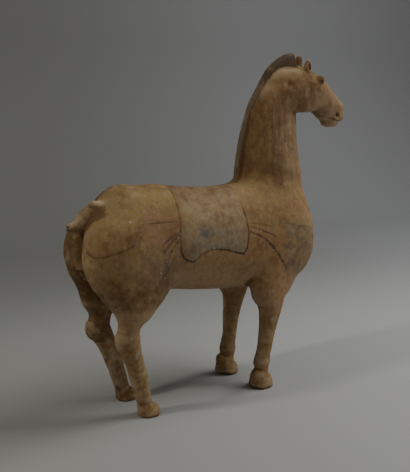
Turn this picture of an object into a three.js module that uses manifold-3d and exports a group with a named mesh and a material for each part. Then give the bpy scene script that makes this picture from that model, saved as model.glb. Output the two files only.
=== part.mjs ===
// Standing tomb horse of painted earthenware: one hollow fired piece, modelled as one closed solid.
// Millimetres, +X to the head, +Y to the horse's left, +Z up, origin under the middle of its box.

import * as THREE from 'three';
import { mergeVertices } from 'three/addons/utils/BufferGeometryUtils.js';
import Module from 'manifold-3d';

// Driving sizes
const HEIGHT = 550; // ground to the top of the mane
const SOCKET_DIAMETER = 5; // hole in the end of the tail stub, for a lost tail
const SOCKET_DEPTH = 14;
const MOUTH_GAPE = 3; // opening of the mouth at the lips
const HEEL_LIFT = 5.5; // how far the heel of a fore hoof stands off the ground

// The pose is given in thousandths of the height, from the ground point midway between the hooves
const UNIT = HEIGHT / 1000;

// One row for each station of a limb: the outline's two points in side view (x, z and x, z),
// half the width across, and how far the middle of the station stands out from the middle plane
const TRUNK = [
  [-228, 640, -236, 392, 106, 0],
  [-165, 639, -165, 352, 113, 0],
  [-109, 628, -100, 338, 115, 0],
  [0, 616, 9, 320, 115, 0],
  [109, 615, 118, 306, 115, 0],
  [209, 622, 225, 305, 115, 0],
  [293, 600, 314, 312, 105, 0],
];
const NECK = [
  [420, 458, 122, 527, 91, 0],
  [406, 546, 148, 578, 82, 0],
  [397, 631, 163, 636, 69, 0],
  [384, 705, 172, 702, 58, 0],
  [380, 764, 183, 756, 52, 0],
  [381, 815, 201, 811, 46, 0],
  [380, 848, 232, 862, 42, 0],
  [372, 866, 275, 916, 38, 0],
];
const HEAD = [
  [394, 960, 341, 868, 39, 0],
  [429, 950, 375, 834, 43, 0],
  [462, 937, 407, 829, 45, 0],
  [493, 916, 438, 828, 41, 0],
  [521, 892, 464, 818, 35, 0],
  [547, 871, 489, 798, 30, 0],
  [568, 850, 515, 781, 27, 0],
];
const MANE = [
  [370, 1000, 362, 938, 14, 0],
  [344, 996, 344, 932, 14, 0],
  [312, 982, 326, 919, 13.5, 0],
  [277, 958, 303, 900, 13, 0],
  [250, 926, 283, 883, 12, 0],
  [226, 892, 262, 863, 11, 0],
  [207, 864, 244, 842, 10, 0],
  [192, 834, 231, 818, 9.5, 0],
  [176, 790, 217, 780, 9, 0],
  [161, 735, 206, 731, 8.5, 0],
  [151, 682, 198, 680, 8, 0],
  [143, 628, 190, 626, 7, 0],
];
const TAIL = [
  [-294, 602, -318, 536, 29, 0],
  [-332, 583, -344, 524, 25, 0],
  [-365, 557, -372, 524, 15, 0],
  [-394, 544, -396, 528, 8, 0],
];
const BUTTOCK_GROOVE = [
  [-273, 518, -404, 515, 6, 0],
  [-273, 464, -404, 464, 6, 0],
  [-273, 391, -391, 391, 6, 0],
  [-255, 327, -373, 327, 6, 0],
];

// One row for each station of a leg: x, z, half depth, half width, distance from the middle plane,
// and the tilt of the station in degrees
const FORELEG = [
  [262, 436, 91, 55, 55, 0],
  [248, 360, 86, 53, 65, 0],
  [219, 298, 67, 41, 82, 0],
  [217, 252, 42, 32, 90, 4],
  [211, 205, 31, 26, 91, 6],
  [205, 158, 26, 21.5, 89, 6],
  [201, 124, 23.5, 19.5, 86, 4],
  [196, 100, 24.5, 20, 85, 0],
  [193, 76, 28, 22.5, 84, -10],
  [193, 56, 22, 19, 84, -8],
  [188, 36, 33, 26, 84, -4],
  [190, 15, 38, 33, 84, 0],
  [190, -15, 43, 36, 84, 0],
];
const HIND_LEG = [
  [-260, 524, 95, 65, 44, 0],
  [-238, 427, 127, 67, 51, 0],
  [-244, 369, 116, 62, 62, 0],
  [-253, 315, 69, 49, 76, 4],
  [-263, 280, 35, 31, 84, 0],
  [-268, 258, 32, 25, 85, -8],
  [-270, 238, 38, 25, 84, -14],
  [-260, 205, 31, 23, 81, -8],
  [-245, 165, 27, 22, 74, -4],
  [-231, 124, 26, 21, 69, -4],
  [-223, 93, 23.5, 20.5, 67, 0],
  [-216, 62, 22.5, 21.5, 65, 0],
  [-211, 42, 21, 20, 65, 0],
  [-207, 25, 24, 23, 65, 0],
  [-199, 7, 34.5, 30, 65, 0],
  [-196, -15, 38, 32, 65, 0],
];

// How the left legs differ from the right: the foot moved along x and y, less and less up to a
// height, and places moved for themselves, each with its height, reach and move in x and z
const LEFT_FORELEG = { footX: -19, footY: -17, fadeHeight: 218, places: [] };
const LEFT_HIND_LEG = {
  footX: 5,
  footY: 7,
  fadeHeight: 109,
  places: [
    [327, 36, -8, 0],
    [255, 40, 2, -15],
    [236, 18, -4, 0],
  ],
};

// Lumps that swell the figure: middle, radii and the blend they join with
const BUTTOCK = { middle: [-292, 57, 463], radii: [84, 62, 92], blend: 46 };
const BREAST = { middle: [328, 40, 422], radii: [78, 62, 101], blend: 50 };
const POLL = { middle: [322, 0, 897], radii: [58, 38, 58], blend: 30 };
const JOWL = { middle: [378, 30, 870], radii: [88, 16.5, 48], squareness: 3, blend: 10 };
const LIPS = { middle: [546, 0, 822], radii: [33, 27, 33], squareness: 3, lean: 0.15, blend: 12 };
const CHIN = { middle: [530, 0, 788], radii: [31, 20, 15], squareness: 2.4, blend: 8 };

// The tufts of hair that stand out behind the fetlocks of the two left legs
const TUFTS = [
  { middle: [151, 72, 49], radii: [15, 12, 17] },
  { middle: [-231, 69, 83], radii: [12, 11, 17] },
];

// How softly the limbs run into the rest
const BLEND = { neck: 34, skull: 6, groove: 30, foreleg: 26, hindLeg: 30, mane: 5, tail: 14, tuft: 6 };

// Features of the head
const EYE = { middle: [450, 36, 920], radii: [15.5, 12, 14.5] };
const NOSTRIL = { middle: [534, 26, 813], radii: [7, 9, 6.5] };
const RIGHT_EAR = { foot: [404, -27, 958], halfDepth: 15, height: 25, squareness: 2, point: 0.45 };
const LEFT_EAR = { foot: [415, 27, 962], halfDepth: 12, height: 33, squareness: 3, point: 0.1 };
const EAR_HALF_WIDTH = 9;
const EAR_TILT = -8; // degrees, back from upright
const EAR_HOLLOW = { halfDepth: 7, halfWidth: 8, heightShare: 0.7, forward: 4, up: 4 };
const MOUTH_CORNER = [524, 796];
const MOUTH_FRONT = [584, 784];

// The fore hooves stand on their toes: the heel's rise starts and is full at these places
const HEEL_RISE_START = 180;
const HEEL_RISE_END = 150;

// The hole in the end of the tail stub runs forward from its mouth towards a point inside
const TAIL_HOLE = { mouth: [-398, 535], inside: [-345, 539] };

// Grid lines of the net along each axis: where they start, then each stretch's end and spacing,
// close at the tail, the feet, the mane and the head, wider over the body
const GRID_X = { start: -430, stretches: [[-350, 13], [-70, 21], [100, 38], [385, 21], [640, 15]] };
const GRID_Y = { start: -160, stretches: [[-16, 18], [16, 8], [160, 18]] };
const GRID_Z = {
  start: -36,
  stretches: [[75, 14], [340, 20.5], [500, 31], [580, 18], [790, 31], [1020, 15]],
};

// Wider than any blend, so that a limb farther off than this can be passed over
const OUT_OF_REACH = 60;

// Turns a leg's rows into outline rows like the trunk's
function legRows(rows) {
  return rows.map(([x, z, halfDepth, halfWidth, y, tilt]) => {
    const dx = halfDepth * Math.cos(THREE.MathUtils.degToRad(tilt));
    const dz = halfDepth * Math.sin(THREE.MathUtils.degToRad(tilt));
    return [x + dx, z + dz, x - dx, z - dz, halfWidth, y];
  });
}

// The left leg's rows from the right leg's
function leftOf(rows, { footX, footY, fadeHeight, places }) {
  return rows.map(([x, z, halfDepth, halfWidth, y, tilt]) => {
    const foot = THREE.MathUtils.clamp(1 - z / fadeHeight, 0, 1);
    let [moveX, moveZ] = [footX * foot, 0];
    for (const [height, reach, dx, dz] of places) {
      const nearness = Math.exp(-(((z - height) / reach) ** 2));
      moveX += dx * nearness;
      moveZ += dz * nearness;
    }
    return [x + moveX, z + moveZ, halfDepth, halfWidth, y + footY * foot, tilt];
  });
}

// A limb: rounded sections strung on a smooth line through its stations
class Limb {
  constructor(rows, { side = 1, squareness = 2, startCap = 1, endCap = 1 } = {}) {
    const stepsPerStation = 6;
    const stations = rows.map(([frontX, frontZ, backX, backZ, halfWidth, y]) => ({
      x: (frontX + backX) / 2,
      z: (frontZ + backZ) / 2,
      halfDepth: Math.hypot(frontX - backX, frontZ - backZ) / 2,
      halfWidth,
      y: y * side,
    }));
    const line = smoothLine(stations, stepsPerStation);
    this.pieces = line.slice(1).map((to, i) => {
      const from = line[i];
      const length = Math.hypot(to.x - from.x, to.z - from.z);
      return { from, to, length, dirX: (to.x - from.x) / length, dirZ: (to.z - from.z) / length };
    });
    this.squareness = squareness;
    this.startCap = startCap;
    this.endCap = endCap;
    this.box = new THREE.Box2();
    for (const { x, z, halfDepth } of line) {
      const size = new THREE.Vector2(2, 2).multiplyScalar(halfDepth + OUT_OF_REACH);
      this.box.union(new THREE.Box2().setFromCenterAndSize(new THREE.Vector2(x, z), size));
    }
  }

  // The nearest section to a point of the side view: its sizes and the point's place in it
  section(x, z) {
    if (!this.box.containsPoint(new THREE.Vector2(x, z))) return null;
    const last = this.pieces.length - 1;
    let nearest = Infinity;
    let found = null;
    this.pieces.forEach(({ from, length, dirX, dirZ }, i) => {
      const along = (x - from.x) * dirX + (z - from.z) * dirZ;
      const clamped = THREE.MathUtils.clamp(along, 0, length);
      const distance = Math.hypot(x - from.x - clamped * dirX, z - from.z - clamped * dirZ);
      if (distance < nearest) {
        nearest = distance;
        found = { i, along, clamped };
      }
    });
    const { from, to, length, dirX, dirZ } = this.pieces[found.i];
    const share = found.clamped / length;
    const over = found.along - found.clamped;
    const atEnd = (found.i === 0 && over < 0) || (found.i === last && over > 0);
    const halfDepth = THREE.MathUtils.lerp(from.halfDepth, to.halfDepth, share);
    return {
      across: (z - from.z) * dirX - (x - from.x) * dirZ,
      beyond: atEnd ? over : 0,
      halfDepth,
      halfWidth: THREE.MathUtils.lerp(from.halfWidth, to.halfWidth, share),
      y: THREE.MathUtils.lerp(from.y, to.y, share),
      cap: halfDepth * (over < 0 ? this.startCap : this.endCap),
    };
  }

  // Approximate signed distance to the limb's surface
  distance(section, y) {
    if (!section) return OUT_OF_REACH;
    return roundedDistance(
      [y - section.y, section.across, section.beyond],
      [section.halfWidth, section.halfDepth, section.cap],
      this.squareness,
    );
  }
}

// Signed distance to a rounded block, an ellipsoid where the squareness is 2
function roundedDistance(offset, radii, squareness) {
  let sum = 0;
  let slope = 0;
  for (let i = 0; i < 3; i++) {
    const share = Math.abs(offset[i]) / radii[i];
    sum += share ** squareness;
    slope += (share ** (squareness - 1) / radii[i]) ** 2;
  }
  const reach = sum ** (1 / squareness);
  if (reach < 0.05) return -Math.min(...radii);
  return ((reach - 1) * reach ** (squareness - 1)) / Math.sqrt(slope);
}

// Passes a smooth line through the stations (uniform Catmull-Rom on every value)
function smoothLine(stations, steps) {
  const mirrored = (end, inner) => mapValues(end, (value, key) => 2 * value - inner[key]);
  const all = [mirrored(stations[0], stations[1]), ...stations, mirrored(stations.at(-1), stations.at(-2))];
  const line = [];
  for (let i = 0; i < stations.length - 1; i++) {
    const [a, b, c, d] = all.slice(i, i + 4);
    for (let step = 0; step < steps; step++) {
      line.push(mapValues(b, (_, key) => catmullRom(a[key], b[key], c[key], d[key], step / steps)));
    }
  }
  line.push(stations.at(-1));
  return line;
}

function mapValues(object, change) {
  return Object.fromEntries(Object.entries(object).map(([key, value]) => [key, change(value, key)]));
}

function catmullRom(a, b, c, d, t) {
  const linear = (c - a) * t;
  const square = (2 * a - 5 * b + 4 * c - d) * t * t;
  const cube = (3 * b - a - 3 * c + d) * t ** 3;
  return 0.5 * (2 * b + linear + square + cube);
}

// Rounded union and rounded cut, with the given blend width
function join(a, b, blend) {
  const overlap = Math.max(blend - Math.abs(a - b), 0) / blend;
  return Math.min(a, b) - overlap * overlap * blend * 0.25;
}

function carve(a, b, blend) {
  return -join(-a, b, blend);
}

// A lump on one side of the figure, leaning back as it rises by the given share
function lump({ middle, radii, squareness = 2, lean = 0 }, side = 1) {
  return (x, y, z) => {
    const rise = z - middle[2];
    return roundedDistance([x - middle[0] + lean * rise, y - middle[1] * side, rise], radii, squareness);
  };
}

const bothSides = (make) => [make(-1), make(1)];

const trunk = new Limb(TRUNK, { squareness: 2.2, startCap: 0.78, endCap: 0.75 });
const neck = new Limb(NECK, { startCap: 0.3, endCap: 0.3 });
const head = new Limb(HEAD, { squareness: 2.6, startCap: 0.5, endCap: 0.3 });
const mane = new Limb(MANE, { squareness: 3, startCap: 0.25, endCap: 0.3 });
const tail = new Limb(TAIL, { startCap: 0.5, endCap: 0.5 });
const groove = new Limb(BUTTOCK_GROOVE, { startCap: 0.3, endCap: 0.3 });
const forelegs = [
  new Limb(legRows(FORELEG), { side: -1, startCap: 0.8, endCap: 0.2 }),
  new Limb(legRows(leftOf(FORELEG, LEFT_FORELEG)), { startCap: 0.8, endCap: 0.2 }),
];
const hindLegs = [
  new Limb(legRows(HIND_LEG), { side: -1, startCap: 0.5, endCap: 0.2 }),
  new Limb(legRows(leftOf(HIND_LEG, LEFT_HIND_LEG)), { startCap: 0.5, endCap: 0.2 }),
];
const limbs = [trunk, neck, head, mane, tail, groove, ...forelegs, ...hindLegs];

const buttocks = bothSides((side) => lump(BUTTOCK, side));
const breasts = bothSides((side) => lump(BREAST, side));
const jowls = bothSides((side) => lump(JOWL, side));
const poll = lump(POLL);
const lips = lump(LIPS);
const chin = lump(CHIN);
const tufts = TUFTS.map((tuft) => lump(tuft));

// The whole form at one point, given each limb's nearest section to that point's side view
function formDistance(sections, x, y, z) {
  const at = (limb) => limb.distance(sections.get(limb), y);
  let distance = at(trunk);
  for (const part of buttocks) distance = join(distance, part(x, y, z), BUTTOCK.blend);
  for (const part of breasts) distance = join(distance, part(x, y, z), BREAST.blend);
  distance = join(distance, at(neck), BLEND.neck);
  let skull = join(at(head), poll(x, y, z), POLL.blend);
  for (const part of jowls) skull = join(skull, part(x, y, z), JOWL.blend);
  skull = join(skull, lips(x, y, z), LIPS.blend);
  skull = join(skull, chin(x, y, z), CHIN.blend);
  distance = join(distance, skull, BLEND.skull);
  distance = carve(distance, at(groove), BLEND.groove);
  for (const leg of forelegs) distance = join(distance, at(leg), BLEND.foreleg);
  for (const leg of hindLegs) distance = join(distance, at(leg), BLEND.hindLeg);
  distance = join(distance, at(mane), BLEND.mane);
  distance = join(distance, at(tail), BLEND.tail);
  for (const tuft of tufts) distance = join(distance, tuft(x, y, z), BLEND.tuft);
  return distance;
}

const sectionsAt = (x, z) => new Map(limbs.map((limb) => [limb, limb.section(x, z)]));
const formAt = (x, y, z) => formDistance(sectionsAt(x, z), x, y, z);

// Grid lines along one axis: each stretch has its own spacing
function gridLines({ start, stretches }) {
  const lines = [start];
  for (const [end, spacing] of stretches) {
    const from = lines[lines.length - 1];
    const count = Math.round((end - from) / spacing);
    for (let i = 1; i <= count; i++) lines.push(from + ((end - from) * i) / count);
  }
  return lines;
}

const gridLinesOf = [GRID_X, GRID_Y, GRID_Z].map(gridLines);
const [gridX, gridY, gridZ] = gridLinesOf;
const gridSize = gridLinesOf.map((lines) => lines.length);
const gridIndex = ([i, j, k]) => (i * gridSize[1] + j) * gridSize[2] + k;

function sampleForm() {
  const field = new Float64Array(gridSize[0] * gridSize[1] * gridSize[2]);
  gridX.forEach((x, i) => {
    gridZ.forEach((z, k) => {
      const sections = sectionsAt(x, z);
      gridY.forEach((y, j) => {
        field[gridIndex([i, j, k])] = formDistance(sections, x, y, z);
      });
    });
  });
  return field;
}

// A grid edge: its two ends, from a corner of the grid, an axis and which of the cell's four along it
function edgeOf(cell, axis, n) {
  const from = [...cell];
  from[(axis + 1) % 3] += n & 1;
  from[(axis + 2) % 3] += n >> 1;
  const to = [...from];
  to[axis] += 1;
  return { from, to, name: gridIndex(from) * 3 + axis };
}

// The cell's edges that cross the surface, in groups that belong to one sheet of it
function sheetsOf(cell, field) {
  const groupOf = new Map();
  for (let axis = 0; axis < 3; axis++) {
    for (let n = 0; n < 4; n++) {
      const edge = edgeOf(cell, axis, n);
      const crosses = field[gridIndex(edge.from)] < 0 !== field[gridIndex(edge.to)] < 0;
      if (crosses) groupOf.set(axis * 4 + n, [edge]);
    }
  }
  const link = (p, q) => {
    const [a, b] = [groupOf.get(p), groupOf.get(q)];
    if (a === b) return;
    a.push(...b);
    for (const [edge, group] of groupOf) if (group === b) groupOf.set(edge, a);
  };
  for (let axis = 0; axis < 3; axis++) {
    for (let side = 0; side < 2; side++) linkFace(cell, axis, side, field, groupOf, link);
  }
  return new Set(groupOf.values());
}

// Links the crossed edges of one face; where all four cross, round the corners that stand apart
function linkFace(cell, axis, side, field, groupOf, link) {
  const b = (axis + 1) % 3;
  const c = (axis + 2) % 3;
  const edgesAt = (onB, onC) => [b * 4 + onC + 2 * side, c * 4 + side + 2 * onB];
  const crossed = [...edgesAt(0, 0), ...edgesAt(1, 1)].filter((edge) => groupOf.has(edge));
  if (crossed.length === 2) link(...crossed);
  if (crossed.length < 4) return;
  const valueAt = (onB, onC) => {
    const corner = [...cell];
    corner[axis] += side;
    corner[b] += onB;
    corner[c] += onC;
    return field[gridIndex(corner)];
  };
  const corners = [[0, 0], [1, 0], [0, 1], [1, 1]];
  const middle = corners.reduce((sum, corner) => sum + valueAt(...corner), 0);
  for (const corner of corners) {
    const apart = valueAt(...corner) < 0 !== middle < 0;
    if (apart) link(...edgesAt(...corner));
  }
}

// The surface as a net: in each cell one vertex for each sheet, pulled onto the surface,
// and round each grid edge that crosses it one quad
function surfaceMesh() {
  const field = sampleForm();
  const positions = [];
  const vertexOf = new Map();
  const cells = [];
  for (let i = 0; i < gridSize[0] - 1; i++) {
    for (let j = 0; j < gridSize[1] - 1; j++) {
      for (let k = 0; k < gridSize[2] - 1; k++) cells.push([i, j, k]);
    }
  }
  for (const cell of cells) {
    for (const edges of sheetsOf(cell, field)) {
      for (const edge of edges) vertexOf.set(`${gridIndex(cell)}/${edge.name}`, positions.length / 3);
      positions.push(...ontoSurface(middleOf(edges, field)));
    }
  }
  const triangles = [];
  for (const cell of cells) {
    for (let axis = 0; axis < 3; axis++) {
      const { from, to, name } = edgeOf(cell, axis, 0);
      const inside = field[gridIndex(from)] < 0;
      if (inside === field[gridIndex(to)] < 0) continue;
      const quad = [[0, 0], [1, 0], [1, 1], [0, 1]].map(([onB, onC]) => {
        const neighbour = [...cell];
        neighbour[(axis + 1) % 3] -= onB;
        neighbour[(axis + 2) % 3] -= onC;
        return vertexOf.get(`${gridIndex(neighbour)}/${name}`);
      });
      addQuad(triangles, positions, inside ? quad : quad.reverse());
    }
  }
  return { positions, triangles };
}

// The mean of the points where the surface crosses the edges
function middleOf(edges, field) {
  const sum = [0, 0, 0];
  for (const { from, to } of edges) {
    const a = field[gridIndex(from)];
    const b = field[gridIndex(to)];
    gridLinesOf.forEach((lines, d) => {
      sum[d] += THREE.MathUtils.lerp(lines[from[d]], lines[to[d]], a / (a - b)) / edges.length;
    });
  }
  return sum;
}

// Moves a point along the form's slope until it lies on the surface
function ontoSurface(point) {
  const reach = 0.5;
  const limit = 5;
  let [x, y, z] = point;
  for (let pass = 0; pass < 3; pass++) {
    const here = formAt(x, y, z);
    const slope = [
      (formAt(x + reach, y, z) - formAt(x - reach, y, z)) / (2 * reach),
      (formAt(x, y + reach, z) - formAt(x, y - reach, z)) / (2 * reach),
      (formAt(x, y, z + reach) - formAt(x, y, z - reach)) / (2 * reach),
    ];
    const steep = slope[0] ** 2 + slope[1] ** 2 + slope[2] ** 2;
    if (steep < 0.01) break;
    const move = THREE.MathUtils.clamp(here / steep, -limit, limit);
    x -= slope[0] * move;
    y -= slope[1] * move;
    z -= slope[2] * move;
  }
  return [x, y, z];
}

// Splits a quad along its shorter diagonal
function addQuad(triangles, positions, [a, b, c, d]) {
  const gap = (p, q) =>
    Math.hypot(
      positions[3 * p] - positions[3 * q],
      positions[3 * p + 1] - positions[3 * q + 1],
      positions[3 * p + 2] - positions[3 * q + 2],
    );
  if (gap(a, c) < gap(b, d)) triangles.push(a, b, c, a, c, d);
  else triangles.push(a, b, d, b, c, d);
}

const wasm = await Module();
wasm.setup();

function solid(positions, triangles) {
  const vertProperties = new Float32Array(positions);
  const triVerts = new Uint32Array(triangles);
  return new wasm.Manifold(new wasm.Mesh({ numProp: 3, vertProperties, triVerts }));
}

function solidOf(geometry) {
  geometry.deleteAttribute('normal');
  geometry.deleteAttribute('uv');
  const merged = mergeVertices(geometry);
  return solid(merged.attributes.position.array, merged.index.array);
}

// A sphere stretched to three radii, squarer where asked, its upper half drawn in by the given share
function pebble([x, y, z], [radiusX, radiusY, radiusZ], { squareness = 2, point = 0, tilt = 0 } = {}) {
  const sides = squareness > 2 || point > 0 ? 12 : 10;
  const geometry = new THREE.SphereGeometry(1, sides, Math.round(sides * 0.7));
  geometry.rotateX(Math.PI / 2);
  const vertices = geometry.attributes.position;
  for (let i = 0; i < vertices.count; i++) {
    const vertex = new THREE.Vector3().fromBufferAttribute(vertices, i);
    const reach = vertex.toArray().reduce((sum, value) => sum + Math.abs(value) ** squareness, 0);
    vertex.multiplyScalar(reach ** (-1 / squareness));
    const width = 1 - point * Math.max(vertex.z, 0);
    vertices.setXYZ(i, vertex.x * width, vertex.y * width, vertex.z);
  }
  geometry.scale(radiusX, radiusY, radiusZ);
  geometry.rotateY(-THREE.MathUtils.degToRad(tilt));
  geometry.translate(x, y, z);
  geometry.scale(UNIT, UNIT, UNIT);
  return solidOf(geometry);
}

const onSide = ([x, y, z], side) => [x, y * side, z];

// A leaf-shaped ear with a hollow in its outer face
function ear({ foot: [x, y, z], halfDepth, height, squareness, point }) {
  const side = Math.sign(y);
  const leaf = pebble([x, y, z], [halfDepth, EAR_HALF_WIDTH, height], { squareness, point, tilt: EAR_TILT });
  const radii = [EAR_HOLLOW.halfDepth, EAR_HOLLOW.halfWidth, height * EAR_HOLLOW.heightShare];
  const middle = [x + EAR_HOLLOW.forward, y + EAR_HALF_WIDTH * side, z + EAR_HOLLOW.up];
  return leaf.subtract(pebble(middle, radii, { point, tilt: EAR_TILT }));
}

// A wedge across the muzzle, open at the lips and running out to nothing at its corner
function mouthWedge() {
  const corner = new THREE.Vector2(...MOUTH_CORNER).multiplyScalar(UNIT);
  const front = new THREE.Vector2(...MOUTH_FRONT).multiplyScalar(UNIT);
  const half = front.clone().sub(corner).normalize().rotateAround(new THREE.Vector2(), Math.PI / 2);
  half.multiplyScalar(MOUTH_GAPE / 2);
  const outline = new THREE.Shape([corner, front.clone().sub(half), front.clone().add(half)]);
  const width = 80 * UNIT;
  const geometry = new THREE.ExtrudeGeometry(outline, { depth: width, bevelEnabled: false });
  geometry.rotateX(Math.PI / 2);
  geometry.translate(0, width / 2, 0);
  return solidOf(geometry);
}

// The round hole in the end of the tail stub
function tailSocket() {
  const [end, root] = [TAIL_HOLE.mouth, TAIL_HOLE.inside].map(([x, z]) => new THREE.Vector3(x, 0, z));
  end.multiplyScalar(UNIT);
  root.multiplyScalar(UNIT);
  const overshoot = 6;
  const radius = SOCKET_DIAMETER / 2;
  const geometry = new THREE.CylinderGeometry(radius, radius, SOCKET_DEPTH + overshoot, 12);
  geometry.translate(0, (SOCKET_DEPTH - overshoot) / 2, 0);
  const inward = root.clone().sub(end).normalize();
  geometry.applyQuaternion(new THREE.Quaternion().setFromUnitVectors(new THREE.Vector3(0, 1, 0), inward));
  geometry.translate(end.x, end.y, end.z);
  return solidOf(geometry);
}

// The ground, and the wedge of air under the lifted heels of the fore hooves
function ground() {
  const depth = 60 * UNIT;
  const block = new THREE.BoxGeometry(HEIGHT, HEIGHT, depth);
  block.translate(0, 0, -depth / 2);
  const liftStart = HEEL_RISE_START * UNIT;
  const heel = HEEL_RISE_END * UNIT;
  const middle = 80 * UNIT;
  const air = new THREE.Shape([
    new THREE.Vector2(liftStart, -depth / 2),
    new THREE.Vector2(liftStart, 0),
    new THREE.Vector2(heel, HEEL_LIFT),
    new THREE.Vector2(middle, HEEL_LIFT),
    new THREE.Vector2(middle, -depth / 2),
  ]);
  const wedge = new THREE.ExtrudeGeometry(air, { depth: HEIGHT / 2, bevelEnabled: false });
  wedge.rotateX(Math.PI / 2);
  wedge.translate(0, HEIGHT / 4, 0);
  return solidOf(block).add(solidOf(wedge));
}

const net = surfaceMesh();
const added = [
  ...bothSides((side) => pebble(onSide(EYE.middle, side), EYE.radii)),
  ear(RIGHT_EAR),
  ear(LEFT_EAR),
];
const removed = [
  ...bothSides((side) => pebble(onSide(NOSTRIL.middle, side), NOSTRIL.radii)),
  mouthWedge(),
  tailSocket(),
  ground(),
];
let body = solid(net.positions.map((value) => value * UNIT), net.triangles);
for (const piece of added) body = body.add(piece);
for (const piece of removed) body = body.subtract(piece);

const mesh = body.getMesh();
const geometry = new THREE.BufferGeometry();
geometry.setAttribute('position', new THREE.BufferAttribute(mesh.vertProperties, 3));
geometry.setIndex(new THREE.BufferAttribute(mesh.triVerts, 1));
geometry.computeBoundingBox();
const middle = geometry.boundingBox.getCenter(new THREE.Vector3());
geometry.translate(-middle.x, 0, 0);
geometry.computeVertexNormals();

const earthenware = new THREE.MeshStandardMaterial({ color: 0xa98355, roughness: 0.9, metalness: 0 });
const horse = new THREE.Mesh(geometry, earthenware);
horse.name = 'horse';

const figure = new THREE.Group();
figure.add(horse);
export default figure;
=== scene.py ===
"""Standing tomb horse of painted earthenware, seen from its right rear on a pale seamless floor."""

import math
from types import SimpleNamespace
from typing import NamedTuple

import bpy
import numpy as np
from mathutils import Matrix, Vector
from mathutils.kdtree import KDTree


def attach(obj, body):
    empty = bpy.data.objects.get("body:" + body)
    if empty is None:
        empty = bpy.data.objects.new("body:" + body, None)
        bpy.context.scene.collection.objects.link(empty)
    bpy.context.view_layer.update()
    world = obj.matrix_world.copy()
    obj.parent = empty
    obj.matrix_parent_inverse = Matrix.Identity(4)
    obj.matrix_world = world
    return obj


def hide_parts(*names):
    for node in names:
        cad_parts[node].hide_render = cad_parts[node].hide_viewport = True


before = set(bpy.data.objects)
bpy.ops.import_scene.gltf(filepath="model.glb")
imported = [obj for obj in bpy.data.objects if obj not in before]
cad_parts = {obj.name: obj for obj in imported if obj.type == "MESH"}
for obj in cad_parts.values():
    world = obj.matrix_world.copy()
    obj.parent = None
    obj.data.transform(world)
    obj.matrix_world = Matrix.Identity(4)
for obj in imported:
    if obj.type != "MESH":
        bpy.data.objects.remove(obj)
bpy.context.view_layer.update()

# The form is given in thousandths of the horse's height, from the ground between the hooves
HORSE_HEIGHT = 0.55  # metres
UNIT = HORSE_HEIGHT / 1000
MIDDLE_X = 0.0513  # metres from there to the middle of the CAD box

# Stations of a limb in the middle plane: the outline's two points in side view (x, z and x, z)
# and half the width across
TRUNK = [
    (-228, 640, -236, 392, 106), (-165, 639, -165, 352, 113), (-109, 628, -100, 338, 115),
    (0, 616, 9, 320, 115), (109, 615, 118, 306, 115), (209, 622, 225, 305, 115),
    (293, 600, 314, 312, 105),
]
NECK = [
    (420, 458, 122, 527, 91), (406, 546, 148, 578, 82), (397, 631, 163, 636, 69),
    (384, 705, 172, 702, 58), (380, 764, 183, 756, 52), (381, 815, 201, 811, 46),
    (380, 848, 232, 862, 42), (372, 866, 275, 916, 38),
]
HEAD = [
    (394, 960, 341, 868, 39), (429, 950, 375, 834, 43), (462, 937, 407, 829, 45),
    (493, 916, 438, 828, 41), (521, 892, 464, 818, 35), (547, 871, 489, 798, 30),
    (568, 850, 515, 781, 27),
]
MANE = [
    (370, 1000, 362, 938, 14), (344, 996, 344, 932, 14), (312, 982, 326, 919, 13.5),
    (277, 958, 303, 900, 13), (250, 926, 283, 883, 12), (226, 892, 262, 863, 11),
    (207, 864, 244, 842, 10), (192, 834, 231, 818, 9.5), (176, 790, 217, 780, 9),
    (161, 735, 206, 731, 8.5), (151, 682, 198, 680, 8), (143, 628, 190, 626, 7),
]
TAIL = [
    (-294, 602, -318, 536, 29), (-332, 583, -344, 524, 25), (-365, 557, -372, 524, 15),
    (-394, 544, -396, 528, 8),
]
BUTTOCK_GROOVE = [
    (-273, 518, -404, 515, 6), (-273, 464, -404, 464, 6), (-273, 391, -391, 391, 6),
    (-255, 327, -373, 327, 6),
]

# Stations of a leg: x, z, half depth, half width, distance from the middle plane, tilt in degrees
FORELEG = [
    (262, 436, 91, 55, 55, 0), (248, 360, 86, 53, 65, 0), (219, 298, 67, 41, 82, 0),
    (217, 252, 42, 32, 90, 4), (211, 205, 31, 26, 91, 6), (205, 158, 26, 21.5, 89, 6),
    (201, 124, 23.5, 19.5, 86, 4), (196, 100, 24.5, 20, 85, 0), (193, 76, 28, 22.5, 84, -10),
    (193, 56, 22, 19, 84, -8), (188, 36, 33, 26, 84, -4), (190, 15, 38, 33, 84, 0),
    (190, -15, 43, 36, 84, 0),
]
HIND_LEG = [
    (-260, 524, 95, 65, 44, 0), (-238, 427, 127, 67, 51, 0), (-244, 369, 116, 62, 62, 0),
    (-253, 315, 69, 49, 76, 4), (-263, 280, 35, 31, 84, 0), (-268, 258, 32, 25, 85, -8),
    (-270, 238, 38, 25, 84, -14), (-260, 205, 31, 23, 81, -8), (-245, 165, 27, 22, 74, -4),
    (-231, 124, 26, 21, 69, -4), (-223, 93, 23.5, 20.5, 67, 0), (-216, 62, 22.5, 21.5, 65, 0),
    (-211, 42, 21, 20, 65, 0), (-207, 25, 24, 23, 65, 0), (-199, 7, 34.5, 30, 65, 0),
    (-196, -15, 38, 32, 65, 0),
]

# The left legs stand a little otherwise: the foot moves along x and y, less and less up to a
# height, and some places move for themselves (height, reach, move in x and z)
LEFT_FORELEG = {"foot": (-19, -17), "fade": 218, "places": ()}
LEFT_HIND_LEG = {
    "foot": (5, 7),
    "fade": 109,
    "places": ((327, 36, -8, 0), (255, 40, 2, -15), (236, 18, -4, 0)),
}

FAR = 120.0  # stands for any distance out of a limb's reach
COARSE_STEPS = 5  # places tried along each stretch of a limb before the nearest one is refined
FINE_STEPS = 4  # times that the nearest one is refined
TINY = 1e-9  # keeps a division from failing


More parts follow.
